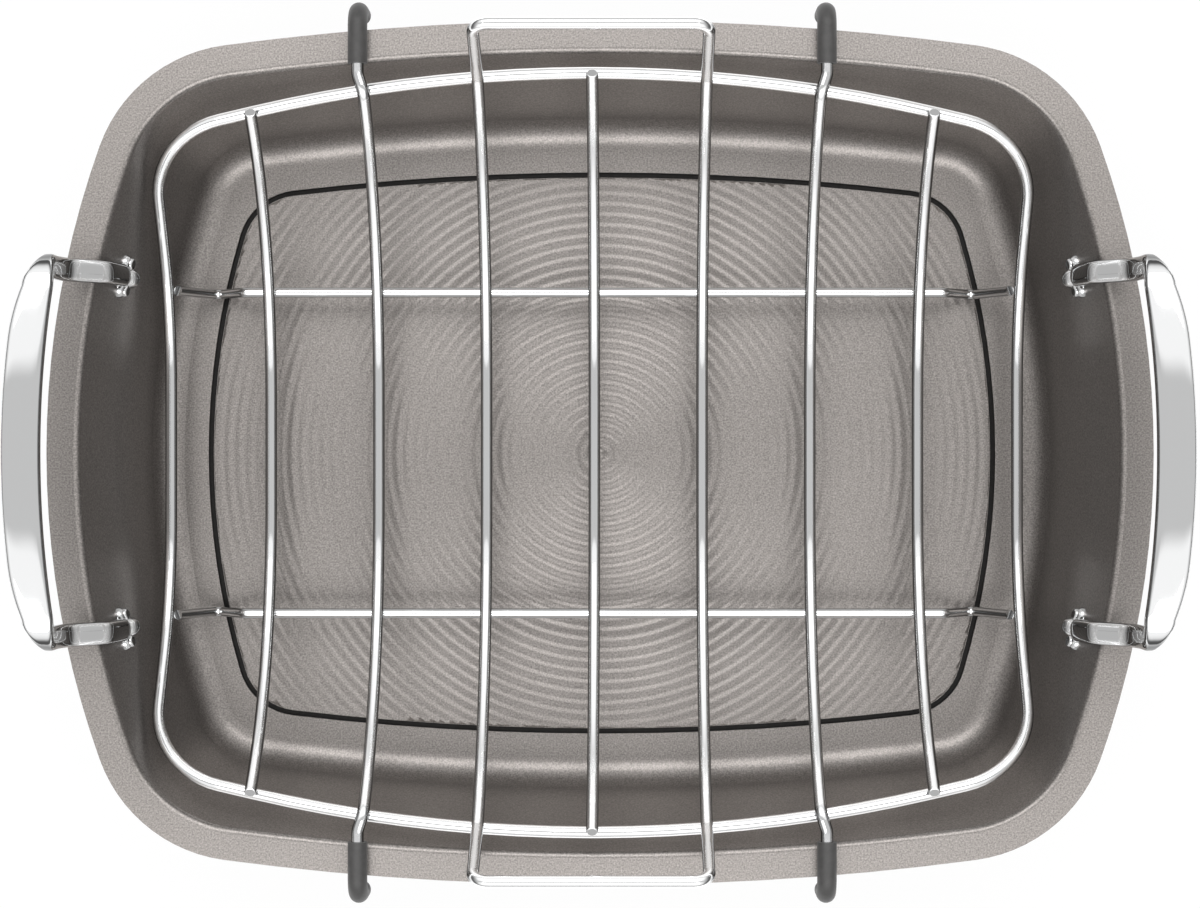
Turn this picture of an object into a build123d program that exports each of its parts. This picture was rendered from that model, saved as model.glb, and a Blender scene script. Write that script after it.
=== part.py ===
from build123d import *
import math
import os

os.makedirs("parts", exist_ok=True)

# Pan: pressed sheet with a flat flared rim, drafted walls and a grooved floor
sheet = 1.0
pan_height = 76.0
rim_half_length = 216.0
rim_half_width = 168.65
rim_end_radius = 355.0
rim_side_radius = 1110.0
rim_corner_radius = 60.0
rim_width = 12.4
rim_inner_bend = 2.6
wall_draft = 15.0
cove_radius = 12.0
ledge_height = 1.6
groove_end_inset = 52.4
groove_side_inset = 52.25
groove_end_radius = 320.0
groove_side_radius = 1100.0
groove_corner_radius = 25.0
groove_width = 2.2
cut_overrun = 2.0

# Rack: U-shaped wire grid, hung on the long rims by its hooks
wire_diameter = 4.8
rail_diameter = 4.0
set_down = 0.4
rack_shift = -3.0
bar_height = 18.0
bar_flat_half = 22.0
bar_overrun = 4.6
bar_end_round = 0.6
bar_corner_gap = 5.15
frame_side_gap = 8.45
frame_end_gap = 30.1
frame_rise = 2.0
frame_side_bow = 14.3
frame_side_sag = 7.0
frame_corner_inset = 25.0
end_wire_height = 24.0
end_bend_share = 0.4345
end_bend_radius = 110.0

# Rails: straight wires under the crossbars, bent into a V foot near each end
rail_half_spacing = 66.0
rail_kink_inset = 29.7
rail_foot_inset = 16.5
rail_foot_clearance = 1.5
rail_bend_radius = 3.0

# Hooks: the wire runs over the rim and turns down outside it, in a silicone sleeve
hook_splay = 2.3
hook_splay_start = 7.0
hook_bend_radius = 7.0
hook_knee_radius = 5.5
hook_overhang = 3.55
hook_drop = 10.0
sleeve_wall = 1.3
sleeve_bore_gap = 0.1
sleeve_top_length = 21.0
sleeve_rim_gap = 0.3

# Lifting grips: two crossbars run up past the frame and join in a bar
grip_flare = 12.7
grip_rise = 42.0
grip_corner_radius = 6.0
grip_knee_radius = 15.0
grip_knee_rise = 3.0

# Handles: cast bridges whose legs stand on the inside of the end walls
handle_rise = 50.0
strap_thickness = 5.0
strap_top_radius = 514.0
strap_shoulder_radius = 13.0
strap_inner_radius = 7.0
strap_width = 14.3
strap_outer_radius = 285.0
strap_inset = 8.3
strap_inner_edge_radius = 500.0
leg_half_spacing = 70.2
leg_width = 9.0
leg_thickness = 4.6
leg_extra_lean = 2.5
leg_wall_gap = 0.1
leg_nose_rise = 3.5
leg_nose_flat = 0.3
leg_curve_depth = 19.0
leg_curve_drop = 8.0
leg_curve_radius = 12.0

# Feet of the handles: a pad on the wall, with two rivet lobes and a tongue
foot_depth = 21.0
pad_thickness = 2.6
pad_seat = 0.4
tongue_width = 7.8
tongue_length = 9.6
tongue_thickness = 3.6
pad_top_length = 6.0
lobe_radius = 3.3
lobe_half_spacing = 5.4
rivet_shank_radius = 1.3
rivet_fit = 0.05
rivet_head_radius = 2.5
rivet_head_height = 1.3
rivet_head_round = 1.0
rivet_tail_height = 0.8

# Sizes that follow from the ones above
draft_slope = math.tan(math.radians(wall_draft))
draft_cosine = math.cos(math.radians(wall_draft))
floor_top = ledge_height + sheet
wall_inset = rim_width - sheet / draft_cosine
groove_half_length = rim_half_length - groove_end_inset
groove_half_width = rim_half_width - groove_side_inset
frame_half_length = rim_half_length - rim_width - frame_end_gap
frame_mid_half_width = rim_half_width - rim_width - frame_side_gap
frame_outer_half_width = frame_mid_half_width - frame_side_bow
frame_mid_height = pan_height + frame_rise
frame_outer_height = frame_mid_height - frame_side_sag
frame_corner_radius = rim_corner_radius - frame_corner_inset
end_bend_half_width = frame_outer_half_width * end_bend_share
outer_bar = frame_half_length - frame_corner_radius - bar_corner_gap
bar_pitch = outer_bar / 3
wire_centre_gap = wire_diameter - set_down
rail_kink_half_length = frame_half_length - rail_kink_inset
rail_foot_half_length = frame_half_length - rail_foot_inset
rail_foot_height = floor_top + rail_foot_clearance + rail_diameter / 2
sleeve_diameter = wire_diameter + 2 * (sleeve_bore_gap + sleeve_wall)
hook_height = pan_height + sleeve_rim_gap + sleeve_diameter / 2
hook_half_reach = rim_half_width + hook_overhang
hook_tip_height = pan_height - hook_drop
sleeve_start_half_width = hook_half_reach - sleeve_top_length
grip_half_reach = frame_mid_half_width + grip_flare
grip_height = pan_height + grip_rise
handle_height = pan_height + handle_rise
strap_inner_reach = rim_half_length - strap_inset
strap_outer_reach = strap_inner_reach + strap_width
foot_height = pan_height - foot_depth
leg_nose_height = foot_height + leg_nose_rise
leg_curve_height = handle_height - leg_curve_depth
leg_nose_radius = leg_width / 2 - leg_nose_flat


def bowed_outline(half_length, half_width, end_radius, side_radius, corner_radius, inset):
    """A rectangle with four bowed sides and round corners, drawn inset from its edge."""
    with BuildSketch(mode=Mode.PRIVATE) as outline:
        with Locations((half_length - end_radius, 0)):
            Circle(end_radius - inset)
        with Locations((end_radius - half_length, 0)):
            Circle(end_radius - inset, mode=Mode.INTERSECT)
        with Locations((0, half_width - side_radius)):
            Circle(side_radius - inset, mode=Mode.INTERSECT)
        with Locations((0, side_radius - half_width)):
            Circle(side_radius - inset, mode=Mode.INTERSECT)
        corners = outline.vertices().filter_by(lambda v: min(abs(v.X), abs(v.Y)) > corner_radius)
        fillet(corners, corner_radius - inset)
    return outline.sketch


def rim_outline(inset):
    """The pan's plan outline, inset from the outer edge of its rim."""
    return bowed_outline(
        rim_half_length, rim_half_width, rim_end_radius, rim_side_radius, rim_corner_radius, inset
    )


def groove_outline(inset):
    """The plan outline of the floor groove's centre line, inset towards the middle."""
    return bowed_outline(
        groove_half_length, groove_half_width, groove_end_radius, groove_side_radius,
        groove_corner_radius, inset,
    )


def wall_reach(height, y):
    """How far along X the inner face of an end wall lies, at a height and a Y."""
    radius = rim_end_radius - rim_width - (pan_height - height) * draft_slope
    return rim_half_length - rim_end_radius + math.sqrt(radius**2 - y**2)


def foot_plane(x_side, y_side):
    """The inner face of an end wall behind one handle foot: X level, Y up the wall, Z inwards."""
    radius = rim_end_radius - rim_width - (pan_height - foot_height) * draft_slope
    turn = math.degrees(math.asin(leg_half_spacing / radius))
    outward = Vector(x_side, 0, 0).rotate(Axis.Z, x_side * y_side * turn)
    up_the_wall = outward * math.sin(math.radians(wall_draft)) + Vector(0, 0, draft_cosine)
    inward = Vector(0, 0, math.sin(math.radians(wall_draft))) - outward * draft_cosine
    foot_reach = wall_reach(foot_height, leg_half_spacing)
    origin = Vector(x_side * foot_reach, y_side * leg_half_spacing, foot_height)
    return Plane(origin=origin, x_dir=up_the_wall.cross(inward), z_dir=inward)


feet = {
    ("left", "front"): foot_plane(-1, -1),
    ("left", "rear"): foot_plane(-1, 1),
    ("right", "front"): foot_plane(1, -1),
    ("right", "rear"): foot_plane(1, 1),
}

# The hollow of the pan, with its cove
with BuildPart() as hollow:
    with BuildSketch(Plane.XY.offset(pan_height)):
        add(rim_outline(rim_width))
    extrude(amount=floor_top - pan_height, taper=wall_draft)
    fillet(hollow.faces().sort_by(Axis.Z)[0].edges(), cove_radius)

# Pan shell
with BuildPart() as pan_shell:
    with BuildSketch(Plane.XY.offset(pan_height)):
        add(rim_outline(wall_inset))
    extrude(amount=ledge_height - pan_height, taper=wall_draft)
    fillet(pan_shell.faces().sort_by(Axis.Z)[0].edges(), cove_radius + sheet)
    with BuildSketch(Plane.XY.offset(pan_height)):
        add(rim_outline(0))
    extrude(amount=-sheet)
    rim_underside = pan_shell.faces().filter_by_position(
        Axis.Z, pan_height - sheet, pan_height - sheet
    )[0]
    fillet(rim_underside.inner_wires()[0].edges(), rim_inner_bend - sheet)
    with BuildSketch(Plane.XY):
        add(groove_outline(-groove_width / 2 - sheet))
        add(groove_outline(groove_width / 2 + sheet), mode=Mode.SUBTRACT)
    extrude(amount=floor_top)
    add(hollow.part, mode=Mode.SUBTRACT)
    rim_top = pan_shell.faces().sort_by(Axis.Z)[-1]
    fillet(rim_top.inner_wires()[0].edges(), rim_inner_bend)
    with BuildSketch(Plane.XY.offset(sheet)):
        add(groove_outline(-groove_width / 2))
        add(groove_outline(groove_width / 2), mode=Mode.SUBTRACT)
    extrude(amount=floor_top + cut_overrun, mode=Mode.SUBTRACT)
    for foot in feet.values():
        with BuildSketch(foot.offset(cut_overrun)):
            with Locations((-lobe_half_spacing, 0), (lobe_half_spacing, 0)):
                Circle(rivet_shank_radius + rivet_fit)
        extrude(amount=-sheet - 2 * cut_overrun, mode=Mode.SUBTRACT)


def side_wire_point(x):
    """The place (Y, Z) of the frame's long side at an X, along its tilted arc."""
    fall = side_arc_radius - math.sqrt(side_arc_radius**2 - x**2)
    share = fall / side_sagitta
    return (
        frame_mid_half_width - share * frame_side_bow,
        frame_mid_height - share * frame_side_sag,
    )


def bar_seat(x):
    """Radius and slope at which a U-shaped bar meets the frame's wire at an X."""
    seat_y, seat_z = side_wire_point(x)
    run = seat_y - bar_flat_half
    rise = seat_z - bar_height
    radius = (run**2 + rise**2 - wire_centre_gap**2) / (2 * (rise + wire_centre_gap))
    return radius, math.atan2(run, radius - rise)


def bar_points(x):
    """The U's two lower corners and the two places where it lies on the frame."""
    radius, slope = bar_seat(x)
    corner_y = bar_flat_half + radius * math.tan(slope / 2)
    seat_y = bar_flat_half + radius * math.sin(slope)
    seat_z = bar_height + radius * (1 - math.cos(slope))
    return radius, slope, corner_y, seat_y, seat_z


def sweep_wire(path, diameter):
    """A round wire along a path, in the part being built."""
    with BuildSketch(Plane(origin=path @ 0, z_dir=path % 0), mode=Mode.PRIVATE) as section:
        Circle(diameter / 2)
    sweep(sections=section.sketch, path=path)


def mirrored_side(points):
    """The same points with their Y turned over, from last to first."""
    return [(x, -y, z) for x, y, z in reversed(points)]


# The long side's arc lies in a plane that leans outwards over the rim
side_sagitta = math.hypot(frame_side_bow, frame_side_sag)
side_arc_radius = (outer_bar**2 + side_sagitta**2) / (2 * side_sagitta)
side_turn = math.asin(outer_bar / side_arc_radius)
apex_rise = side_arc_radius * (1 / math.cos(side_turn) - 1) / side_sagitta
apex_y = frame_mid_half_width + apex_rise * frame_side_bow
apex_z = frame_mid_height + apex_rise * frame_side_sag
tail = (frame_half_length - outer_bar) * math.tan(side_turn) / side_sagitta
corner_y = frame_outer_half_width - tail * frame_side_bow
corner_z = frame_outer_height - tail * frame_side_sag

frame_quarter = [
    (rack_shift + frame_half_length, end_bend_half_width, end_wire_height),
    (rack_shift + frame_half_length, corner_y, corner_z),
]
frame_side = frame_quarter + [(rack_shift, apex_y, apex_z)] + [
    (2 * rack_shift - x, y, z) for x, y, z in reversed(frame_quarter)
]
side_radii = [end_bend_radius, frame_corner_radius, side_arc_radius, frame_corner_radius, end_bend_radius]

# Frame: one closed wire round the whole rack, made as a rear half and its mirror image
frame_ends = [(rack_shift + x, 0, end_wire_height) for x in (frame_half_length, -frame_half_length)]
with BuildPart() as rack_frame:
    with BuildLine() as frame_path:
        FilletPolyline(frame_ends[0], *frame_side, frame_ends[1], radius=side_radii)
    sweep_wire(frame_path.wire(), wire_diameter)
    mirror(about=Plane.XZ)

# Plain crossbars: their cut ends lie on the frame
crossbars = {}
for name, x in (("left", -outer_bar), ("centre", 0), ("right", outer_bar)):
    radius, slope, bend_y, seat_y, seat_z = bar_points(x)
    end_y = seat_y + bar_overrun * math.cos(slope)
    end_z = seat_z + bar_overrun * math.sin(slope)
    half = [(rack_shift + x, end_y, end_z), (rack_shift + x, bend_y, bar_height)]
    with BuildPart() as crossbar:
        with BuildLine() as bar_path:
            FilletPolyline(*half, *mirrored_side(half), radius=radius)
        sweep_wire(bar_path.wire(), wire_diameter)
        fillet(crossbar.faces().filter_by(GeomType.PLANE).edges(), bar_end_round)
    crossbars[name] = crossbar

# Hook bars: crossbars that run on over the rims
hook_bars = {}
for name, x_side in (("left", -1), ("right", 1)):
    x = x_side * 2 * bar_pitch
    radius, slope, bend_y, seat_y, seat_z = bar_points(x)
    knee_y = seat_y + (hook_height - seat_z) / math.tan(slope)
    hook_x = rack_shift + x + x_side * hook_splay
    half = [
        (hook_x, hook_half_reach, hook_tip_height),
        (hook_x, hook_half_reach, hook_height),
        (hook_x, knee_y + hook_splay_start, hook_height),
        (rack_shift + x, knee_y, hook_height),
        (rack_shift + x, bend_y, bar_height),
    ]
    half_radii = [hook_bend_radius, hook_knee_radius, hook_knee_radius, radius]
    with BuildPart() as hook_bar:
        with BuildLine() as bar_path:
            FilletPolyline(*half, *mirrored_side(half), radius=half_radii + half_radii[::-1])
        sweep_wire(bar_path.wire(), wire_diameter)
    hook_bars[name] = hook_bar

# Lifting loop: two crossbars and two grips in one closed wire
radius, slope, bend_y, seat_y, seat_z = bar_points(bar_pitch)
knee_y = seat_y + grip_knee_rise / math.tan(slope)
knee_z = seat_z + grip_knee_rise
loop_quarter = [
    (rack_shift + bar_pitch, bend_y, bar_height),
    (rack_shift + bar_pitch, knee_y, knee_z),
    (rack_shift + bar_pitch, grip_half_reach, grip_height),
]
loop_side = loop_quarter + [(2 * rack_shift - x, y, z) for x, y, z in reversed(loop_quarter)]
loop_radii = [radius, grip_knee_radius, grip_corner_radius, grip_corner_radius, grip_knee_radius, radius]
with BuildPart() as lifting_loop:
    with BuildLine() as loop_path:
        FilletPolyline(*loop_side, *mirrored_side(loop_side), radius=loop_radii * 2, close=True)
    sweep_wire(loop_path.wire(), wire_diameter)

# Rails: straight under the crossbars, with a V foot near each end
rail_bar_radius = bar_seat(outer_bar)[0]
rail_bar_centre = bar_height + rail_bar_radius
rail_gap = (wire_diameter + rail_diameter) / 2 - set_down
rail_drop = math.sqrt((rail_bar_radius + rail_gap)**2 - (rail_half_spacing - bar_flat_half)**2)
rail_height = rail_bar_centre - rail_drop
end_wire_slope = math.atan2(corner_z - end_wire_height, corner_y - end_bend_half_width)
end_arc_start = end_bend_half_width - end_bend_radius * math.tan(end_wire_slope / 2)
end_arc_drop = math.sqrt(end_bend_radius**2 - (rail_half_spacing - end_arc_start)**2)
end_wire_at_rail = end_wire_height + end_bend_radius - end_arc_drop
rails = {}
for name, y_side in (("front", -1), ("rear", 1)):
    half = [
        (frame_half_length - rail_gap, end_wire_at_rail),
        (rail_foot_half_length, rail_foot_height),
        (rail_kink_half_length, rail_height),
    ]
    along = [(rack_shift + x, y_side * rail_half_spacing, z) for x, z in half]
    back = [(rack_shift - x, y_side * rail_half_spacing, z) for x, z in reversed(half)]
    with BuildPart() as rail:
        with BuildLine() as rail_path:
            FilletPolyline(*along, *back, radius=rail_bend_radius)
        sweep_wire(rail_path.wire(), rail_diameter)
    rails[name] = rail

# Welded crossings: each lower wire is notched where an upper one lies on it
bars = [*crossbars.values(), *hook_bars.values(), lifting_loop]
for lower in (rack_frame, *rails.values()):
    with lower:
        for bar in bars:
            add(bar.part, mode=Mode.SUBTRACT)
for rail in rails.values():
    with rail:
        add(rack_frame.part, mode=Mode.SUBTRACT)

# Hook sleeves: closed silicone tubes over the ends of the hook bars
sleeves = {}
for x_name, x_side in (("left", -1), ("right", 1)):
    hook_x = rack_shift + x_side * (2 * bar_pitch + hook_splay)
    for y_name, y_side in (("front", -1), ("rear", 1)):
        route = [
            (hook_x, y_side * sleeve_start_half_width, hook_height),
            (hook_x, y_side * hook_half_reach, hook_height),
            (hook_x, y_side * hook_half_reach, hook_tip_height - sleeve_bore_gap),
        ]
        tip = Vector(route[-1])
        with BuildLine() as sleeve_path:
            FilletPolyline(*route, radius=hook_bend_radius)
        with BuildPart() as bore:
            sweep_wire(sleeve_path.wire(), wire_diameter + 2 * sleeve_bore_gap)
        with BuildPart() as sleeve:
            sweep_wire(sleeve_path.wire(), sleeve_diameter)
            with Locations(tip):
                Sphere(sleeve_diameter / 2)
            add(bore.part, mode=Mode.SUBTRACT)
        sleeves[x_name, y_name] = sleeve

# Right handle: a bowed strap whose shoulders turn down into two leaning legs
leg_lean = math.radians(wall_draft + leg_extra_lean)
shoulder_half = leg_half_spacing + leg_width / 2
underside_half = leg_half_spacing - leg_width / 2
strap_centre = handle_height - strap_top_radius
underside_radius = strap_top_radius - strap_thickness
shoulder_height = strap_centre + math.sqrt(strap_top_radius**2 - shoulder_half**2)
underside_height = strap_centre + math.sqrt(underside_radius**2 - underside_half**2)
leg_back = leg_thickness / math.cos(leg_lean)
leg_nose_reach = wall_reach(leg_nose_height, shoulder_half) - leg_wall_gap - leg_back


def leg_reach(height):
    """How far along X a leg's inner face lies at a height."""
    return leg_nose_reach + (height - leg_nose_height) * math.tan(leg_lean)


with BuildPart() as right_handle:
    with BuildSketch(Plane.YZ.offset(leg_nose_reach - cut_overrun)) as elevation:
        with BuildLine():
            ThreePointArc(
                (shoulder_half, shoulder_height), (0, handle_height),
                (-shoulder_half, shoulder_height),
            )
            Line((-shoulder_half, shoulder_height), (-shoulder_half, leg_nose_height))
            Line((-shoulder_half, leg_nose_height), (-underside_half, leg_nose_height))
            Line((-underside_half, leg_nose_height), (-underside_half, underside_height))
            ThreePointArc(
                (-underside_half, underside_height), (0, handle_height - strap_thickness),
                (underside_half, underside_height),
            )
            Line((underside_half, underside_height), (underside_half, leg_nose_height))
            Line((underside_half, leg_nose_height), (shoulder_half, leg_nose_height))
            Line((shoulder_half, leg_nose_height), (shoulder_half, shoulder_height))
        make_face()
        low_corners, inside_corners, shoulders = elevation.vertices().group_by(Axis.Y)
        fillet(low_corners, leg_nose_radius)
        fillet(inside_corners, strap_inner_radius)
        fillet(shoulders, strap_shoulder_radius)
    extrude(amount=strap_outer_reach - leg_nose_reach + 2 * cut_overrun)
    with BuildSketch(Plane.XZ) as side_view:
        with BuildLine():
            Polyline(
                (leg_reach(leg_nose_height), leg_nose_height),
                (leg_reach(leg_nose_height) + leg_back, leg_nose_height),
                (leg_reach(leg_curve_height) + leg_back, leg_curve_height),
                (strap_outer_reach, handle_height - leg_curve_drop),
                (strap_outer_reach, handle_height),
                (leg_reach(handle_height), handle_height),
                close=True,
            )
        make_face()
        knee = side_view.vertices().sort_by_distance(
            (leg_reach(leg_curve_height) + leg_back, leg_curve_height)
        )[0]
        fillet(knee, leg_curve_radius)
    extrude(amount=shoulder_half + cut_overrun, both=True, mode=Mode.INTERSECT)
    with BuildSketch(Plane.XY.offset(leg_nose_height - cut_overrun)):
        with Locations((strap_outer_reach - strap_outer_radius, 0)):
            Circle(strap_outer_radius)
    extrude(amount=handle_height, mode=Mode.INTERSECT)
    with BuildSketch(Plane.XY.offset(leg_nose_height - cut_overrun)):
        with Locations((strap_inner_reach - strap_inner_edge_radius, 0)):
            Circle(strap_inner_edge_radius)
        Rectangle(2 * strap_outer_reach, 2 * underside_half, mode=Mode.INTERSECT)
    extrude(amount=handle_height, mode=Mode.SUBTRACT)
    for y_name in ("front", "rear"):
        seat = feet["right", y_name].offset(-pad_seat)
        with BuildSketch(seat):
            with Locations((0, (pad_top_length - tongue_length) / 2)):
                Rectangle(tongue_width, pad_top_length + tongue_length)
            with Locations((-lobe_half_spacing, 0), (lobe_half_spacing, 0)):
                Circle(lobe_radius)
            Rectangle(2 * lobe_half_spacing, lobe_radius)
        extrude(amount=pad_seat + pad_thickness)
        with BuildSketch(seat):
            with Locations((0, -tongue_length + tongue_width / 2)):
                Rectangle(tongue_width, tongue_width)
        extrude(amount=pad_seat + tongue_thickness)
        with BuildSketch(seat):
            with Locations((-lobe_half_spacing, 0), (lobe_half_spacing, 0)):
                Circle(rivet_shank_radius + rivet_fit)
        extrude(amount=pad_seat + pad_thickness + cut_overrun, mode=Mode.SUBTRACT)
    add(pan_shell.part, mode=Mode.SUBTRACT)

# Left handle: the right one, turned over in the middle of the pan
with BuildPart() as left_handle:
    mirror(right_handle.part, about=Plane.YZ)

# Rivets: two to a foot, domed inside the pan and flat outside
rivets = {}
for side, foot in feet.items():
    with BuildPart() as pair:
        places = [(-lobe_half_spacing, 0), (lobe_half_spacing, 0)]
        with BuildSketch(foot.offset(-sheet)):
            with Locations(*places):
                Circle(rivet_shank_radius)
        extrude(amount=sheet + pad_thickness)
        with BuildSketch(foot.offset(pad_thickness)):
            with Locations(*places):
                Circle(rivet_head_radius)
        extrude(amount=rivet_head_height)
        for head in pair.faces().filter_by(Axis(foot.origin, foot.z_dir)).sort_by(
            Axis(foot.origin, foot.z_dir)
        )[-2:]:
            fillet(head.edges(), rivet_head_round)
        with BuildSketch(foot.offset(-sheet)):
            with Locations(*places):
                Circle(rivet_head_radius)
        extrude(amount=-rivet_tail_height)
        add(pan_shell.part, mode=Mode.SUBTRACT)
    rivets[side] = pair

pieces = {
    "pan_shell": pan_shell,
    "left_handle": left_handle,
    "right_handle": right_handle,
    "rack_frame": rack_frame,
    "lifting_loop": lifting_loop,
}
pieces |= {f"{x}_{y}_rivets": pair for (x, y), pair in rivets.items()}
pieces |= {f"crossbar_{x}": crossbar for x, crossbar in crossbars.items()}
pieces |= {f"hook_bar_{x}": hook_bar for x, hook_bar in hook_bars.items()}
pieces |= {f"{y}_rail": rail for y, rail in rails.items()}
pieces |= {f"hook_sleeve_{x}_{y}": sleeve for (x, y), sleeve in sleeves.items()}

for name, piece in pieces.items():
    piece.part.label = name
    export_step(piece.part, f"parts/{name}.step")
    print(name, "volume", round(piece.part.volume), "solids", len(piece.part.solids()))
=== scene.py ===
# %% [markdown]
# A roasting pan with its lift-out rack, dressed for a render.
# The real thing is four finishes: a grey non-stick coating on pressed sheet, mirror chrome on two
# cast handles and their rivets, bright chromed wire, and matt grey silicone on the ends of the hooks.
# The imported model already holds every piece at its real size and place, so this lesson keeps the
# pieces whose shape is right and gives them better finishes, and models afresh those where the
# eye rests: the ridged floor and the two handles with their feet.

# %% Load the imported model
import math

import bmesh
import bpy
from mathutils import Matrix, Vector


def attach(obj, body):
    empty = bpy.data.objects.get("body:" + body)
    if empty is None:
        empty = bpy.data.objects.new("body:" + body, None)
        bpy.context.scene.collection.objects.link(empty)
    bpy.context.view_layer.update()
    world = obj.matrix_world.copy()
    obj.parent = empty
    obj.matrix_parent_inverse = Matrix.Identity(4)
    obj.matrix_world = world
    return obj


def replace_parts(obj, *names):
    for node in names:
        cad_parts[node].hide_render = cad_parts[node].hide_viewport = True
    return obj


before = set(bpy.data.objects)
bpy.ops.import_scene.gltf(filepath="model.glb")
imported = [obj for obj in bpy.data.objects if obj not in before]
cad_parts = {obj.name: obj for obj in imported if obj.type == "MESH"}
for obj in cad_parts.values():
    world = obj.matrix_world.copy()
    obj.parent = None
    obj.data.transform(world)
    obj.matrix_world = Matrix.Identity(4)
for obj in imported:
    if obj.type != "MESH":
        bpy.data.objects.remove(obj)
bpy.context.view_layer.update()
MM = 0.001

# %% [markdown]
# The view. The camera hangs about a metre above the pan and looks straight down, a little right of
# the middle, so the tall handles and grips lean outwards in the picture. A camera can be placed by
# eye, but parallel wires at different heights give its height and centre, so it is placed by those.
# The lens shift only slides the frame, as cropping a photograph does.

# %% Camera
CAMERA_HEIGHT = 1.076
CAMERA_SIDE = 0.0109
CAMERA_REAR = -0.0021
LENS_MM = 76.9
FRAME_WIDTH_PX = 1200
NADIR_RIGHT_PX = 28
NADIR_LOW_PX = 4

camera_data = bpy.data.cameras.new("camera")
camera_data.lens = LENS_MM
camera_data.sensor_width = 36.0
camera_data.shift_x = -NADIR_RIGHT_PX / FRAME_WIDTH_PX
camera_data.shift_y = NADIR_LOW_PX / FRAME_WIDTH_PX
camera = bpy.data.objects.new("camera", camera_data)
camera.location = (CAMERA_SIDE, CAMERA_REAR, CAMERA_HEIGHT)
bpy.context.scene.collection.objects.link(camera)
bpy.context.scene.camera = camera
bpy.context.scene.view_settings.view_transform = "Standard"
print("camera at", tuple(round(metres, 4) for metres in camera.location))

# %% [markdown]
# Shader maths reads best as plain sums. This small class wraps an output socket, so that
# mask * 0.5 + 0.2 adds its Math nodes by itself. Every other node comes from one method, which
# sets a node's own settings first and then fills or links its sockets by name. Most finishes on
# this pan change with height or with the way a face looks, so helpers for those stand here too.

# %% A socket with operators, and a material to hold it
class Signal:
    """An output socket that does arithmetic by adding Math nodes."""

    def __init__(self, shader, socket):
        self.shader = shader
        self.socket = socket

    def maths(self, operation, *values):
        return self.shader.node("Math", {"operation": operation}, *values)

    def size(self):
        return self.maths("ABSOLUTE", self)

    def __add__(self, other):
        return self.maths("ADD", self, other)

    def __mul__(self, other):
        return self.maths("MULTIPLY", self, other)

    def __sub__(self, other):
        return self.maths("SUBTRACT", self, other)

    def __rsub__(self, other):
        return self.maths("SUBTRACT", other, self)

    __radd__ = __add__
    __rmul__ = __mul__


class Shader:
    """A material's or the world's node tree, filled one node at a time."""

    def __init__(self, owner):
        owner.use_nodes = True
        self.tree = owner.node_tree
        self.tree.nodes.clear()

    def node(self, kind, settings=None, *values, output=0, **named):
        made = self.tree.nodes.new("ShaderNode" + kind)
        for name, value in (settings or {}).items():
            if name == "stops":
                self.fill_ramp(made.color_ramp, value)
            else:
                setattr(made, name, value)
        for index, value in enumerate(values):
            self.feed(made.inputs[index], value)
        for name, value in named.items():
            self.feed(made.inputs[name.replace("_", " ")], value)
        return Signal(self, made.outputs[output]) if made.outputs else made

    def feed(self, target, value):
        if isinstance(value, Signal):
            self.tree.links.new(value.socket, target)
        elif isinstance(value, tuple) and len(value) == 3 and target.type == "RGBA":
            target.default_value = (*value, 1.0)
        else:
            target.default_value = value

    def fill_ramp(self, ramp, stops):
        ramp.elements[0].position, ramp.elements[0].color = stops[0][0], (*stops[0][1], 1.0)
        ramp.elements[1].position, ramp.elements[1].color = stops[-1][0], (*stops[-1][1], 1.0)
        for place, colour in stops[1:-1]:
            ramp.elements.new(place).color = (*colour, 1.0)

    def output(self, surface, kind="OutputMaterial"):
        self.node(kind, None, surface)


def new_shader(name):
    """A fresh material and the shader that fills it."""
    material = bpy.data.materials.new(name)
    return material, Shader(material)


WARMTH_IN_BLUE = 0.7


def grey(level, warmth=0.0):
    """A linear grey, redder and a little less blue when it is warm."""
    return (level * (1 + warmth), level, level * (1 - WARMTH_IN_BLUE * warmth))


def fade(shader, value, start, end):
    """Rises smoothly from 0 to 1 between two values."""
    return shader.node(
        "MapRange", {"interpolation_type": "SMOOTHSTEP"}, value, From_Min=start, From_Max=end
    )


def scaled(shader, colour, share):
    """A colour made darker; Vector Math keeps the hue, which a Math node would lose."""
    return shader.node("VectorMath", {"operation": "SCALE"}, colour, Scale=share)


def object_place(shader):
    """The Object coordinates, which are metres in the part's own frame."""
    return shader.node("TexCoord", None, output=3)


def three_parts(shader, vector):
    """The X, Y and Z of a vector."""
    return [shader.node("SeparateXYZ", None, vector, output=axis) for axis in range(3)]


def surface_normal(shader):
    """The X, Y and Z of the direction in which the surface faces, before any bump."""
    return three_parts(shader, shader.node("NewGeometry", None, output=1))


# %% [markdown]
# The light. Coated sheet and chrome look like whatever they mirror, so the room matters more than
# the lamps. The pan was lit from above by broad soft boxes in a pale room whose sides fall off to
# grey: the floor of the pan looks up and is bright, its walls look sideways and are dark. So the
# room here has two broad bright boxes, front and rear, with a dimmer gap straight overhead and dark
# ends left and right: the gap shows as the grey middle of the handles, the dark ends as the thin
# dark edges of the wires. A picture of a studio could light it too, but a few sums on the direction
# of a ray do the same and need no file. The camera itself sees plain white.

# %% World
ROOM_BELOW = 0.45
ROOM_HORIZON = 0.15
ROOM_CEILING = 0.66
HORIZON_END = 0.60
CEILING_START = 0.80
BOX_LEVEL = 0.48
BOX_START = 0.13
BOX_EDGE = 0.05
BOX_HALF_WIDTH = 0.62
BOX_END_SOFTNESS = 0.25
BOX_LOW = 0.15
BOX_FULL = 0.45

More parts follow.
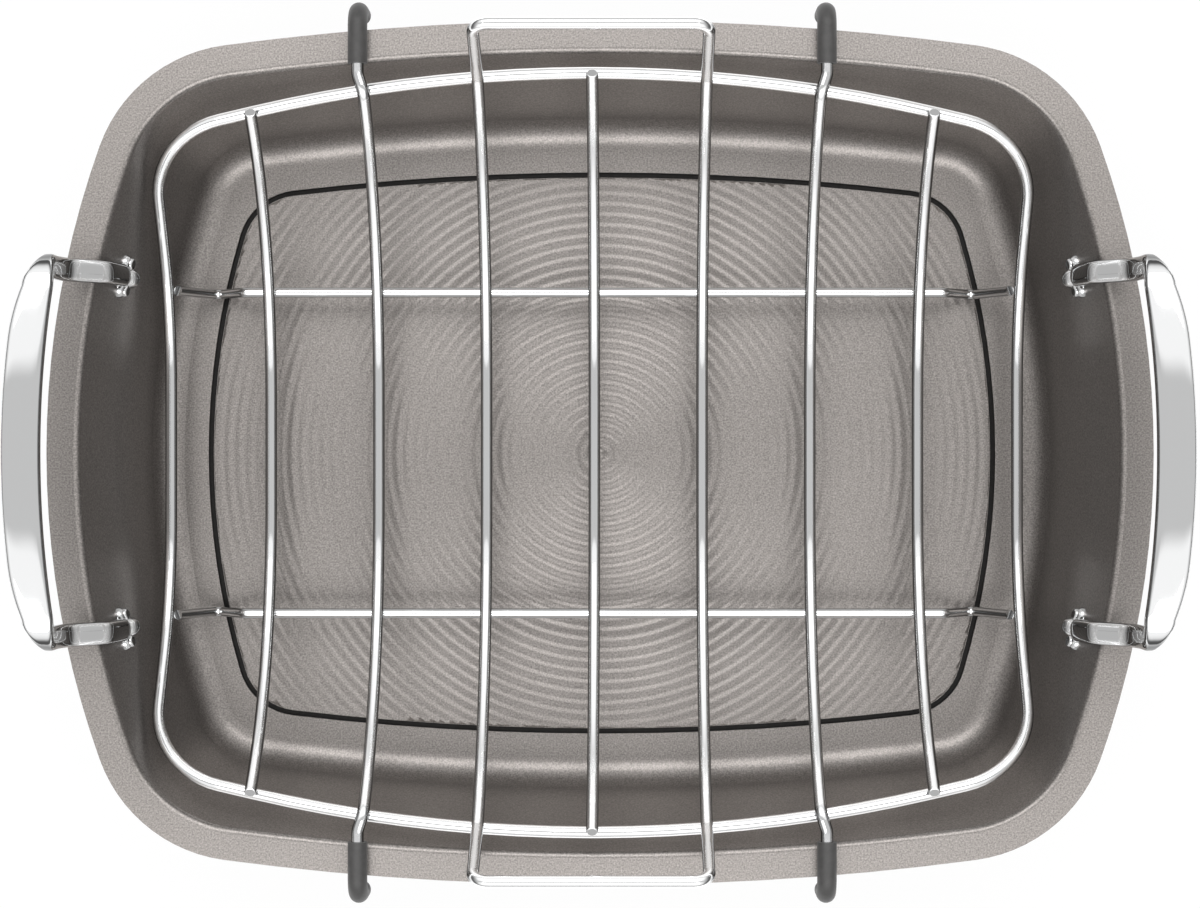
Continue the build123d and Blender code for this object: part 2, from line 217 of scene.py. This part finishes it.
world = bpy.data.worlds.new("soft_room")
bpy.context.scene.world = world
room = Shader(world)
direction = room.node("TexCoord", None, output=0)
sideways, forwards, up = three_parts(room, direction)
ceiling = room.node(
    "ValToRGB",
    {"stops": [(0.0, grey(ROOM_BELOW)), (0.46, grey(ROOM_BELOW)),
               (0.5, grey(ROOM_HORIZON)), (HORIZON_END, grey(ROOM_HORIZON)),
               (CEILING_START, grey(ROOM_CEILING)), (1.0, grey(ROOM_CEILING))]},
    up * 0.5 + 0.5,
)
off_middle = fade(room, forwards.size(), BOX_START, BOX_START + BOX_EDGE)
past_end = fade(room, sideways.size(), BOX_HALF_WIDTH, BOX_HALF_WIDTH + BOX_END_SOFTNESS)
boxes = off_middle * (1 - past_end) * fade(room, up, BOX_LOW, BOX_FULL)
sky = room.node("VectorMath", {"operation": "ADD"}, ceiling, boxes * BOX_LEVEL)
seen = room.node("LightPath", None, output=0)
backdrop = room.node("Background", None, Color=(1.0, 1.0, 1.0), Strength=1.0)
light = room.node("Background", None, Color=sky, Strength=1.0)
room.output(room.node("MixShader", None, seen, light, backdrop), "OutputWorld")
print("room: ceiling", ROOM_CEILING, "boxes", BOX_LEVEL)

# %% [markdown]
# The lamps. The room alone gives an even light without shadows. Two broad area lamps, where the
# room has its bright boxes, add the soft shadows under the wires and the bright turn of the floor
# into the long walls. One lamp overhead would do that too, but it would fill the grey gap.

# %% Soft boxes
BOX_REACH = 0.95
BOX_ABOVE = 1.7
BOX_LENGTH = 2.2
BOX_DEPTH = 0.9
BOX_WATTS = 17.0


def soft_box(name, side):
    """A rectangular area lamp that faces the pan from the front or the rear."""
    lamp = bpy.data.lights.new(name, "AREA")
    lamp.shape = "RECTANGLE"
    lamp.size = BOX_LENGTH
    lamp.size_y = BOX_DEPTH
    lamp.energy = BOX_WATTS
    holder = bpy.data.objects.new(name, lamp)
    place = Vector((0.0, side * BOX_REACH, BOX_ABOVE))
    holder.location = place
    holder.rotation_euler = (-place).to_track_quat("-Z", "Y").to_euler()
    bpy.context.scene.collection.objects.link(holder)
    print(name, "at", tuple(place))


soft_box("soft_box_front", -1)
soft_box("soft_box_rear", 1)

# %% [markdown]
# The floor is a plain sheet of white paper. Strong lamps could burn it out to white, but they would
# burn out the chrome too. So it is white because the camera sees it as a light of strength 1, and
# elsewhere it is ordinary matt paper, which lights the underside of the rim and shows in the chrome.
# A small share stays matt for the camera as well, and that share keeps the pan's soft shadow.

# %% Floor
FLOOR_SIZE = 3.0
FLOOR_DROP = 0.0002
PAPER_SHARE = 0.94
PAPER_LEVEL = 0.86

paper, sheet_shader = new_shader("white_paper")
matt = sheet_shader.node("BsdfDiffuse", None, Color=grey(PAPER_LEVEL))
bright = sheet_shader.node("Emission", None, Color=(1.0, 1.0, 1.0), Strength=1.0)
seen = sheet_shader.node("LightPath", None, output=0)
sheet_shader.output(sheet_shader.node("MixShader", None, seen * PAPER_SHARE, matt, bright))

floor_mesh = bpy.data.meshes.new("paper")
sheet = bmesh.new()
bmesh.ops.create_grid(sheet, x_segments=1, y_segments=1, size=FLOOR_SIZE / 2)
sheet.to_mesh(floor_mesh)
sheet.free()
floor = bpy.data.objects.new("paper", floor_mesh)
floor.location.z = -FLOOR_DROP
floor_mesh.materials.append(paper)
bpy.context.scene.collection.objects.link(floor)
print("paper:", FLOOR_SIZE, "m square")

# %% [markdown]
# The coating. A metallic non-stick coat is a dark resin full of fine mica flakes. It could be a
# plain grey gloss, but then it looks like plastic. So the base is partly metallic with a wide
# satin highlight, a fine noise makes the flakes, which change both tone and roughness, and a
# broader one gives the slight cloudiness of a sprayed coat. The flakes also bump the surface a little.
# The narrow floor groove is nearly black, so painted shade darkens the colour of what lies low there and
# doesn't face down, and a little painted shade darkens the end walls too, which mirror only each other
# across the pan.

# %% Non-stick coating
COAT_LEVEL = 0.235
COAT_WARMTH = 0.08
COAT_METAL = 0.75
COAT_ROUGHNESS = 0.35
FLAKE_SCALE = 1500.0
FLAKE_CONTRAST = 1.9
CLOUD_SCALE = 14.0
CLOUD_CONTRAST = 0.25
GROOVE_DARK_HEIGHT = 0.0018
GROOVE_LIT_HEIGHT = 0.0024
GROOVE_PAINTED_SHADE = 0.96
END_WALL_PAINTED_SHADE = 0.3
END_WALL_TURN = (0.6, 0.9)
NOT_FACING_DOWN = (-0.3, -0.1)
DARKEST_FLAKE = 0.55
LIGHTEST_FLAKE = 1.5


def coating():
    """Warm grey metallic non-stick coat, with fine flakes and slight clouds, and painted shade in the floor
    groove and on the end walls.
    """
    material, shader = new_shader("nonstick_coat")
    where = object_place(shader)
    height = three_parts(shader, where)[2]
    sideways, _, upward = surface_normal(shader)
    # Painted shade on the end walls, which mirror only each other across the pan.
    painted_end_wall_shade = fade(shader, sideways.size(), *END_WALL_TURN)
    # Painted shade in the floor groove: what lies low and doesn't face down is darkened in the colour.
    above_groove = fade(shader, height, GROOVE_DARK_HEIGHT, GROOVE_LIT_HEIGHT)
    painted_groove_shade = (1 - above_groove) * fade(shader, upward, *NOT_FACING_DOWN)
    flakes = shader.node(
        "TexNoise", None, Vector=where, Scale=FLAKE_SCALE, Detail=2.0, Roughness=0.6
    )
    clouds = shader.node(
        "TexNoise", None, Vector=where, Scale=CLOUD_SCALE, Detail=3.0, Roughness=0.5
    )
    tone = (flakes - 0.5) * FLAKE_CONTRAST + (clouds - 0.5) * CLOUD_CONTRAST + 0.5
    colour = shader.node(
        "ValToRGB",
        {"stops": [(0.0, grey(COAT_LEVEL * DARKEST_FLAKE, COAT_WARMTH)),
                   (0.5, grey(COAT_LEVEL, COAT_WARMTH)),
                   (1.0, grey(COAT_LEVEL * LIGHTEST_FLAKE, COAT_WARMTH))]},
        tone,
    )
    shaded = scaled(shader, colour, 1 - painted_groove_shade * GROOVE_PAINTED_SHADE - painted_end_wall_shade * END_WALL_PAINTED_SHADE)
    bump = shader.node("Bump", None, Strength=0.12, Distance=0.0002, Height=flakes)
    surface = shader.node(
        "BsdfPrincipled", None, Base_Color=shaded, Metallic=COAT_METAL,
        Roughness=(flakes - 0.5) * 0.2 + COAT_ROUGHNESS, Normal=bump,
    )
    shader.output(surface)
    return material


nonstick = coating()
print("coating:", nonstick.name)

# %% [markdown]
# Chrome. Polished chrome is nearly white, a touch cool, and almost a mirror. What makes it look real
# is a trace of unevenness: drawn wire keeps faint streaks and a wavering surface under its plating,
# and a cast handle has the slight orange peel of hand polishing. Under a light tent chrome also has
# thin dark outlines, where it mirrors the tent's open ends. These are painted reflection here: the
# colour is darkened on faces that look far left or right, and on the handles and the thin rails on
# those that look far forwards or back, and painted shade darkens faces that look down. The steep
# stretches of wire would mirror only the dark pan, so faces that look up aslant get a soft painted
# glow, an emission that stands in for the tent's fill light.

# %% Chrome finishes
CHROME_LEVEL = 0.80
CHROME_WARMTH = -0.005
DARK_END_PAINTED_REFLECTION = 0.85
DARK_END_TURN = (0.70, 0.92)
FLANK_TURN = (0.5, 0.85)
UNDERSIDE_PAINTED_SHADE = 0.5
UNDERSIDE_TURN = (-0.1, 0.25)
FILL_FROM = (0.3, 0.5)
FILL_TO = (0.6, 0.95)
FILL_EDGE = 0.35
FILL_EDGE_HEIGHT = 0.006


def plating_with_painted_reflection(shader, normal, flank_painted_reflection):
    """Near-white plating with painted reflection and shade: darker where it faces left, right and below, and
    on its flanks.
    """
    sideways, forwards, upward = normal
    # Painted reflection and shade: the colour itself darkens where a face looks far left or right, down, or
    # along the flanks.
    painted_dark_end = fade(shader, sideways.size(), *DARK_END_TURN)
    underside = 1 - fade(shader, upward, *UNDERSIDE_TURN)
    painted_flank = fade(shader, forwards.size(), *FLANK_TURN) * flank_painted_reflection
    ends = 1 - (painted_dark_end * (1 - underside) * DARK_END_PAINTED_REFLECTION + underside * UNDERSIDE_PAINTED_SHADE)
    return scaled(shader, grey(CHROME_LEVEL, CHROME_WARMTH), ends * (1 - painted_flank))


def painted_tent_glow(shader, normal, height, strength, reach, top):
    """Painted glow, a soft emission in place of fill light, on faces that look up aslant, below a height and
    within a sideways reach.
    """
    sideways, _, upward = normal
    aslant = fade(shader, upward, *FILL_FROM) * (1 - fade(shader, upward, *FILL_TO))
    within = 1 - fade(shader, sideways.size(), reach - FILL_EDGE, reach)
    below = 1 - fade(shader, height, top - FILL_EDGE_HEIGHT, top)
    return aslant * within * below * strength


def chrome(name, roughness, ripple_scale, ripple_strength, fill, fill_reach, fill_top, flank_painted_reflection):
    """Bright plating over metal, with a faint ripple and uneven polish, painted reflection in its colour,
    and a painted glow that stands in for a share of tent light.
    """
    material, shader = new_shader(name)
    where = object_place(shader)
    height = three_parts(shader, where)[2]
    normal = surface_normal(shader)
    ripple = shader.node(
        "TexNoise", None, Vector=where, Scale=ripple_scale, Detail=2.0, Roughness=0.5
    )
    haze = shader.node(
        "TexNoise", None, Vector=where, Scale=ripple_scale * 3.0, Detail=3.0, Roughness=0.6
    )
    bump = shader.node("Bump", None, Strength=ripple_strength, Distance=0.0005, Height=ripple)
    surface = shader.node(
        "BsdfPrincipled", None, Base_Color=plating_with_painted_reflection(shader, normal, flank_painted_reflection), Metallic=1.0,
        Roughness=haze * roughness + roughness * 0.5, Normal=bump,
        # Painted glow: an emission on aslant faces that stands in for the tent's fill light.
        Emission_Color=painted_tent_glow(shader, normal, height, fill, fill_reach, fill_top),
        Emission_Strength=1.0,
    )
    shader.output(surface)
    return material


wire_chrome = chrome(
    "chromed_wire", roughness=0.07, ripple_scale=90.0, ripple_strength=0.03,
    fill=0.85, fill_reach=0.6, fill_top=0.13, flank_painted_reflection=0.0,
)
rail_chrome = chrome(
    "chromed_rail", roughness=0.10, ripple_scale=90.0, ripple_strength=0.04,
    fill=0.3, fill_reach=0.5, fill_top=0.13, flank_painted_reflection=0.85,
)
cast_chrome = chrome(
    "polished_casting", roughness=0.04, ripple_scale=60.0, ripple_strength=0.02,
    fill=0.36, fill_reach=1.1, fill_top=0.1, flank_painted_reflection=0.75,
)
print("chrome:", wire_chrome.name, rail_chrome.name, cast_chrome.name)

# %% [markdown]
# Silicone. The hook sleeves are dip-moulded silicone: matt, dark, slightly warm, with a soft sheen
# at grazing angles and a powdery unevenness from handling. One flat colour would do from afar, but
# near by it looks like card, so a fine noise changes both its tone and its roughness.

# %% Silicone
RUBBER_DARK = 0.032
RUBBER_DUSTY = 0.048
RUBBER_WARMTH = 0.03
DUST_SCALE = 400.0


def silicone():
    """Matt dark grey rubber with a soft sheen."""
    material, shader = new_shader("grey_silicone")
    dust = shader.node(
        "TexNoise", None, Vector=object_place(shader), Scale=DUST_SCALE, Detail=3.0, Roughness=0.6
    )
    colour = shader.node(
        "ValToRGB",
        {"stops": [(0.3, grey(RUBBER_DARK, RUBBER_WARMTH)), (0.7, grey(RUBBER_DUSTY, RUBBER_WARMTH))]},
        dust,
    )
    bump = shader.node("Bump", None, Strength=0.15, Distance=0.0002, Height=dust)
    surface = shader.node(
        "BsdfPrincipled", None, Base_Color=colour, Roughness=dust * 0.15 + 0.45,
        Sheen_Weight=0.15, Normal=bump,
    )
    shader.output(surface)
    return material


rubber = silicone()
print("silicone:", rubber.name)

# %% [markdown]
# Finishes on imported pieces. The pan, the wires, the rivets and the sleeves are already round where
# the real ones are, and their faces carry smooth normals. They could be modelled again, but a copy
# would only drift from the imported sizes, so they keep their meshes and change their material alone.

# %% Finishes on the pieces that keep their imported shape
def finish_for(name):
    """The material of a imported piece, told by its name."""
    if "sleeve" in name:
        return rubber
    if name == "pan_shell":
        return nonstick
    if "handle" in name or "rivets" in name:
        return cast_chrome
    if "rail" in name:
        return rail_chrome
    return wire_chrome


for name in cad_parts:
    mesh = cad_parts[name].data
    mesh.materials.clear()
    mesh.materials.append(finish_for(name))
print("finished pieces:", len(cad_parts))

# %% [markdown]
# A helper for new pieces. Each is built in a bmesh at its real place in millimetres, scaled to
# metres once at the end, and handed to its body. Moving the object would be quicker to write, but
# then Object coordinates, which the finishes read, would no longer be the part's own.

# %% A finished mesh becomes a piece
def make_piece(name, mesh_builder, material, body):
    """Turns a bmesh in millimetres into a smooth object that rides on a body."""
    bmesh.ops.scale(mesh_builder, vec=(MM, MM, MM), verts=mesh_builder.verts[:])
    mesh = bpy.data.meshes.new(name)
    mesh_builder.to_mesh(mesh)
    mesh_builder.free()
    mesh.materials.append(material)
    for face in mesh.polygons:
        face.use_smooth = True
    piece = bpy.data.objects.new(name, mesh)
    bpy.context.scene.collection.objects.link(piece)
    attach(piece, body)
    print(name, "faces:", len(mesh.polygons))
    return piece


# %% [markdown]
# The ridged floor. The middle of the real floor is pressed with fine circular ridges that let the
# roast release, and their slopes catch the light in fans to the left and right. A ring pattern in a
# bump node would shade the same but vanish from the mesh, so the ridges are turned: a wavy profile
# is spun about the pan's middle, and what falls outside the bowed panel is drawn in to its edge.
# The edge is four bowed sides with rounded corners, so first a helper tells how far inside it a
# point lies. All sizes here are in millimetres.

# %% Edge of the floor panel
PANEL_HALF_LENGTH = 162.3
PANEL_HALF_WIDTH = 115.1
PANEL_END_RADIUS = 318.7
PANEL_SIDE_RADIUS = 1098.7
PANEL_CORNER_RADIUS = 23.7

end_centre = Vector((PANEL_HALF_LENGTH - PANEL_END_RADIUS, 0))
side_centre = Vector((0, PANEL_HALF_WIDTH - PANEL_SIDE_RADIUS))
to_end = PANEL_END_RADIUS - PANEL_CORNER_RADIUS
to_side = PANEL_SIDE_RADIUS - PANEL_CORNER_RADIUS
span = (side_centre - end_centre).length
along = (to_end**2 - to_side**2 + span**2) / (2 * span)
across = math.sqrt(to_end**2 - along**2)
axis = (side_centre - end_centre) / span
corner_centre = end_centre + axis * along + Vector((-axis.y, axis.x)) * across


def panel_margin(x, y):
    """How far a floor point lies inside the panel's edge; negative outside it."""
    point = Vector((abs(x), abs(y)))
    from_corner = point - corner_centre
    from_end = (corner_centre - end_centre).normalized()
    from_side = (corner_centre - side_centre).normalized()
    if from_end.cross(from_corner) >= 0 and from_corner.cross(from_side) >= 0:
        return PANEL_CORNER_RADIUS - from_corner.length
    return min(
        PANEL_END_RADIUS - (point - end_centre).length,
        PANEL_SIDE_RADIUS - (point - side_centre).length,
    )


print("panel corner centre:", tuple(round(mm, 1) for mm in corner_centre))

# %% Ridges, turned about the middle
FLOOR_TOP = 2.6
PANEL_PROUD = 0.02
PANEL_DEPTH = 0.4
PANEL_BASE = FLOOR_TOP + PANEL_PROUD
RIDGE_PITCH = 4.4
RIDGE_HEIGHT = 0.24
RIDGE_STEPS = 6
RIDGE_TURNS = 216

panel = bmesh.new()
reach = math.hypot(PANEL_HALF_LENGTH, PANEL_HALF_WIDTH)
count = int(reach / RIDGE_PITCH * RIDGE_STEPS)
profile = []
for step in range(count + 1):
    radius = step * RIDGE_PITCH / RIDGE_STEPS
    wave = 0.5 - 0.5 * math.cos(2 * math.pi * step / RIDGE_STEPS)
    profile.append(panel.verts.new((radius, 0, PANEL_BASE + RIDGE_HEIGHT * wave)))
for inner, outer in zip(profile, profile[1:]):
    panel.edges.new((inner, outer))
bmesh.ops.spin(
    panel, geom=panel.verts[:] + panel.edges[:], cent=(0, 0, 0), axis=(0, 0, 1),
    angle=2 * math.pi, steps=RIDGE_TURNS, use_merge=True,
)
bmesh.ops.remove_doubles(panel, verts=panel.verts[:], dist=0.001)
print("turned faces:", len(panel.faces))

# %% Panel drawn in to its edge, with a skirt and a base
RIDGE_FADE = 4.0
DRAW_IN_PASSES = 4

for vertex in panel.verts:
    for _ in range(DRAW_IN_PASSES):
        margin = panel_margin(vertex.co.x, vertex.co.y)
        if margin < 0:
            flat = vertex.co.xy
            flat *= 1 + margin / flat.length
            vertex.co.x, vertex.co.y = flat
    rise = min(1.0, max(0.0, panel_margin(vertex.co.x, vertex.co.y) / RIDGE_FADE))
    vertex.co.z = PANEL_BASE + (vertex.co.z - PANEL_BASE) * rise
bmesh.ops.remove_doubles(panel, verts=panel.verts[:], dist=0.02)
bmesh.ops.dissolve_degenerate(panel, edges=panel.edges[:], dist=0.01)
rim_edges = [edge for edge in panel.edges if len(edge.link_faces) == 1]
skirt = bmesh.ops.extrude_edge_only(panel, edges=rim_edges)["geom"]
for item in skirt:
    if isinstance(item, bmesh.types.BMVert):
        item.co.z = FLOOR_TOP - PANEL_DEPTH
open_edges = [edge for edge in panel.edges if len(edge.link_faces) == 1]
bmesh.ops.holes_fill(panel, edges=open_edges)
bmesh.ops.recalc_face_normals(panel, faces=panel.faces[:])
make_piece("ridged_floor", panel, nonstick, "pan")

# %% [markdown]
# The handles. Each is one casting: a bowed strap to lift by, whose ends turn down into two legs that
# lean with the wall, and a foot on the inside of the wall under each leg. It could be cut from boxes,
# but a casting has no flat ends, and mirror chrome shows every kink. So rounded sections are set
# along the strap's line, wide and thin on top and narrow on the legs, and bridged into one skin.

# %% The legs' line, seen from the front
LEG_SPACING = 70.2
LEG_WIDTH = 9.0
# Height, how far out the inner face lies, and size along X: up the wall, over the rim, up to the strap
LEG_LINE = (
    (58.5, 185.7, 4.6), (65.0, 187.1, 4.7), (76.0, 189.4, 4.8), (80.0, 190.8, 5.6), (82.5, 192.8, 6.3),
    (89.5, 199.4, 6.3), (92.0, 201.4, 5.6), (96.0, 202.9, 5.0), (104.0, 204.0, 5.4),
)


def leg_section(height):
    """Middle and size along X of a leg's section, read off its line at a height."""
    for (low, near, thin), (high, far, thick) in zip(LEG_LINE, LEG_LINE[1:]):
        if height <= high:
            share = (height - low) / (high - low)
            size = thin + (thick - thin) * share
            return near + (far - near) * share + size / 2, size
    return LEG_LINE[-1][1] + LEG_LINE[-1][2] / 2, LEG_LINE[-1][2]


print("leg over the rim:", [round(mm, 1) for mm in leg_section(80.0)])

# %% [markdown]
# Half of a handle is a list of stations from the middle of the strap to the nose of the leg. Each
# station is (x, y, z, turn, width, depth, squareness): the middle of a section, how far the line
# has turned down from level, the section's sizes along X and across, and how square its corners
# are. The strap is listed first, then the shoulder, whose section eases from the strap's to the
# leg's, then the leg and its rounded nose.

# %% The strap and the shoulder
STRAP_TOP = 126.0
STRAP_THICKNESS = 5.0
STRAP_RADIUS = 514.0
STRAP_STEPS = 24
STRAP_SQUARENESS = 6.0
STRAP_OUTER_REACH = 222.0
STRAP_OUTER_RADIUS = 430.0
STRAP_TAPER_START = 42.0
STRAP_TAPER_RADIUS = 85.0
STRAP_INNER_REACH = 207.7
STRAP_INNER_RADIUS = 500.0
SHOULDER_RADIUS = 8.0
SHOULDER_STEPS = 10
LEG_SQUARENESS = 3.2
LINE_RADIUS = STRAP_RADIUS - STRAP_THICKNESS / 2
LINE_CENTRE = STRAP_TOP - STRAP_RADIUS
BEND_Y = LEG_SPACING - SHOULDER_RADIUS
BEND_TURN = math.asin(BEND_Y / LINE_RADIUS)
BEND_Z = LINE_CENTRE + LINE_RADIUS * math.cos(BEND_TURN) - SHOULDER_RADIUS


def bow(distance, radius):
    """How far a shallow arc falls back at a distance from its middle."""
    return distance * distance / (2 * radius)


def strap_stations():
    """The bowed strap, from its middle to where the shoulder starts."""
    stations = []
    for step in range(STRAP_STEPS + 1):
        y = BEND_Y * step / STRAP_STEPS
        turn = math.asin(y / LINE_RADIUS)
        taper = bow(max(0.0, y - STRAP_TAPER_START), STRAP_TAPER_RADIUS)
        outer = STRAP_OUTER_REACH - bow(y, STRAP_OUTER_RADIUS) - taper
        inner = STRAP_INNER_REACH - bow(y, STRAP_INNER_RADIUS)
        z = LINE_CENTRE + LINE_RADIUS * math.cos(turn)
        stations.append(
            ((outer + inner) / 2, y, z, turn, outer - inner, STRAP_THICKNESS, STRAP_SQUARENESS)
        )
    return stations


def shoulder_stations(strap_x, strap_width):
    """A quarter turn down, in which the strap's section becomes the leg's."""
    stations = []
    leg_x, leg_size = leg_section(BEND_Z)
    for step in range(1, SHOULDER_STEPS + 1):
        share = step / SHOULDER_STEPS
        turn = BEND_TURN + (math.pi / 2 - BEND_TURN) * share
        eased = share * share * (3 - 2 * share)
        run = (math.sin(turn) - math.sin(BEND_TURN)) / (1 - math.sin(BEND_TURN))
        stations.append((
            strap_x + (leg_x - strap_x) * eased,
            BEND_Y + SHOULDER_RADIUS * run,
            BEND_Z + SHOULDER_RADIUS * math.cos(turn) / math.cos(BEND_TURN),
            turn,
            strap_width + (leg_size - strap_width) * eased,
            STRAP_THICKNESS + (LEG_WIDTH - STRAP_THICKNESS) * eased,
            STRAP_SQUARENESS + (LEG_SQUARENESS - STRAP_SQUARENESS) * eased,
        ))
    return stations


strap = strap_stations()
print("strap stations:", len(strap), "width at the middle:", round(strap[0][4], 1))

# %% The leg and its nose
NOSE_HEIGHT = 58.5
NOSE_STEPS = 8
NOSE_THINNEST = 0.6
NOSE_TIP = 0.05


def leg_stations():
    """Straight down through the points of the leg's line, then a rounded nose."""
    stations = []
    nose_start = NOSE_HEIGHT + LEG_WIDTH / 2
    heights = [height for height, _, _ in reversed(LEG_LINE) if height > nose_start]
    for height in heights + [nose_start]:
        x, size = leg_section(height)
        stations.append((x, LEG_SPACING, height, math.pi / 2, size, LEG_WIDTH, LEG_SQUARENESS))
    for step in range(1, NOSE_STEPS + 1):
        angle = math.pi / 2 * step / NOSE_STEPS
        height = nose_start - LEG_WIDTH / 2 * math.sin(angle)
        half = max(NOSE_TIP, math.cos(angle))
        x, size = leg_section(height)
        size *= NOSE_THINNEST + (1 - NOSE_THINNEST) * half
        stations.append(
            (x, LEG_SPACING, height, math.pi / 2, size, LEG_WIDTH * half, LEG_SQUARENESS)
        )
    return stations


half_handle = strap + shoulder_stations(strap[-1][0], strap[-1][4]) + leg_stations()
print("stations of half a handle:", len(half_handle))

# %% [markdown]
# A section starts as a circle and is squared up: each point moves out along its own ray until it
# lies on a rounded square, which is then stretched to the section's width and depth. Squareness 2
# would leave a circle and 6 gives nearly flat faces with soft corners, as a polished casting has.

# %% One section of the casting
SECTION_POINTS = 40


def place_section(builder, station, y_side):
    """Sets one rounded section at its station and returns its edges."""
    x, y, z, turn, width, depth, squareness = station
    ring = bmesh.ops.create_circle(builder, segments=SECTION_POINTS, radius=1.0)["verts"]
    for vertex in ring:
        flat = vertex.co.xy
        fullness = (abs(flat.x) ** squareness + abs(flat.y) ** squareness) ** (-1 / squareness)
        vertex.co = Vector((flat.x * fullness * width / 2, 0, flat.y * fullness * depth / 2))
    tilt = Matrix.Rotation(-turn * y_side, 4, "X")
    bmesh.ops.transform(builder, matrix=Matrix.Translation((x, y * y_side, z)) @ tilt, verts=ring)
    return [edge for edge in builder.edges if edge.verts[0] in ring and edge.verts[1] in ring]


# %% [markdown]
# The feet. Each leg ends in a foot that is riveted to the inside of the wall: a short tongue that
# points down the wall, with a round lobe on either side of its root. A flat plate with holes would
# be simpler, but the real foot is soft and full, so each part is a sphere, squashed to a low dome
# with steep sides and cut off flat just inside the wall. The wall is bowed and leans out, so the
# domes are laid out level and then carried by one matrix to the wall's own slope and bow.

# %% Where the wall lies behind a foot
RIM_END_RADIUS = 355.0
RIM_HALF_LENGTH = 216.0
RIM_LEDGE = 12.4
PAN_HEIGHT = 76.0
WALL_DRAFT = math.radians(15.0)
FOOT_HEIGHT = 55.0
WALL_CENTRE = RIM_HALF_LENGTH - RIM_END_RADIUS
WALL_RADIUS = RIM_END_RADIUS - RIM_LEDGE - (PAN_HEIGHT - FOOT_HEIGHT) * math.tan(WALL_DRAFT)


def foot_matrix(y_side):
    """The inner face of the right wall behind a foot: X level, Y up the wall, Z inwards."""
    turn = y_side * math.asin(LEG_SPACING / WALL_RADIUS)
    outward = Vector((math.cos(turn), math.sin(turn), 0))
    up_wall = outward * math.sin(WALL_DRAFT) + Vector((0, 0, math.cos(WALL_DRAFT)))
    inward = Vector((0, 0, math.sin(WALL_DRAFT))) - outward * math.cos(WALL_DRAFT)
    level = up_wall.cross(inward)
    origin = outward * WALL_RADIUS + Vector((WALL_CENTRE, 0, FOOT_HEIGHT))
    turned = Matrix((level, up_wall, inward)).transposed().to_4x4()
    return Matrix.Translation(origin) @ turned


print("rear foot at:", tuple(round(mm, 1) for mm in foot_matrix(1).translation))

# %% The domes of a foot
LOBE_SPACING = 5.4
LOBE_RADIUS = 3.3
PAD_THICKNESS = 2.6
PAD_SEAT = 0.4
TONGUE_WIDTH = 8.4
TONGUE_LENGTH = 9.6
TONGUE_THICKNESS = 3.6
TONGUE_LEAN = 0.45
DOME_TURNS = 32
DOME_RINGS = 18
DOME_FULLNESS = 0.15
TONGUE_DOME = (0, TONGUE_WIDTH / 2, TONGUE_LENGTH / 2 + 1, TONGUE_THICKNESS, -TONGUE_LENGTH / 2, TONGUE_LEAN)
LOBE_DOMES = [(side * LOBE_SPACING, LOBE_RADIUS, LOBE_RADIUS, PAD_THICKNESS, 0, 0) for side in (-1, 1)]


def add_dome(builder, level, half_width, half_height, thickness, up_wall, lean):
    """A squashed sphere with steep sides, cut off flat just inside the wall."""
    dome = bmesh.ops.create_uvsphere(
        builder, u_segments=DOME_TURNS, v_segments=DOME_RINGS, radius=1.0
    )["verts"]
    for vertex in dome:
        x, y, z = vertex.co
        swell = (1 - z * z) ** -DOME_FULLNESS if abs(z) < 0.999 else 0.0
        vertex.co = Vector((
            level + x * swell * half_width,
            up_wall + y * swell * half_height,
            max(z * thickness * (1 - lean * y), -PAD_SEAT),
        ))
    return dome


def add_foot(builder, y_side):
    """A tongue and two rivet lobes, carried to the wall."""
    place = foot_matrix(y_side)
    for shape in [TONGUE_DOME] + LOBE_DOMES:
        dome = add_dome(builder, *shape)
        bmesh.ops.transform(builder, matrix=place, verts=dome)


# %% [markdown]
# Putting a handle together. The half line runs out from the middle, so it is walked backwards on
# the front side and forwards on the rear side. Each pair of neighbouring sections is bridged, the
# two noses are closed, and the feet sit in the same mesh. The left handle is the right one
# mirrored, which turns its faces inside out, so the normals are worked out again at the end.

# %% Both handles
def handle(name, x_side):
    """One casting: strap, shoulders, legs and feet."""
    builder = bmesh.new()
    add_foot(builder, -1)
    add_foot(builder, 1)
    line = [(station, -1) for station in reversed(half_handle)]
    line += [(station, 1) for station in half_handle[1:]]
    rings = [place_section(builder, station, side) for station, side in line]
    for first, second in zip(rings, rings[1:]):
        bmesh.ops.bridge_loops(builder, edges=first + second)
    for end in (rings[0], rings[-1]):
        bmesh.ops.edgeloop_fill(builder, edges=end)
    if x_side < 0:
        bmesh.ops.scale(builder, vec=(-1, 1, 1), verts=builder.verts[:])
    bmesh.ops.recalc_face_normals(builder, faces=builder.faces[:])
    return make_piece(name, builder, cast_chrome, "pan")


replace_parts(handle("left_bridge_handle", -1), "left_handle")
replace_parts(handle("right_bridge_handle", 1), "right_handle")
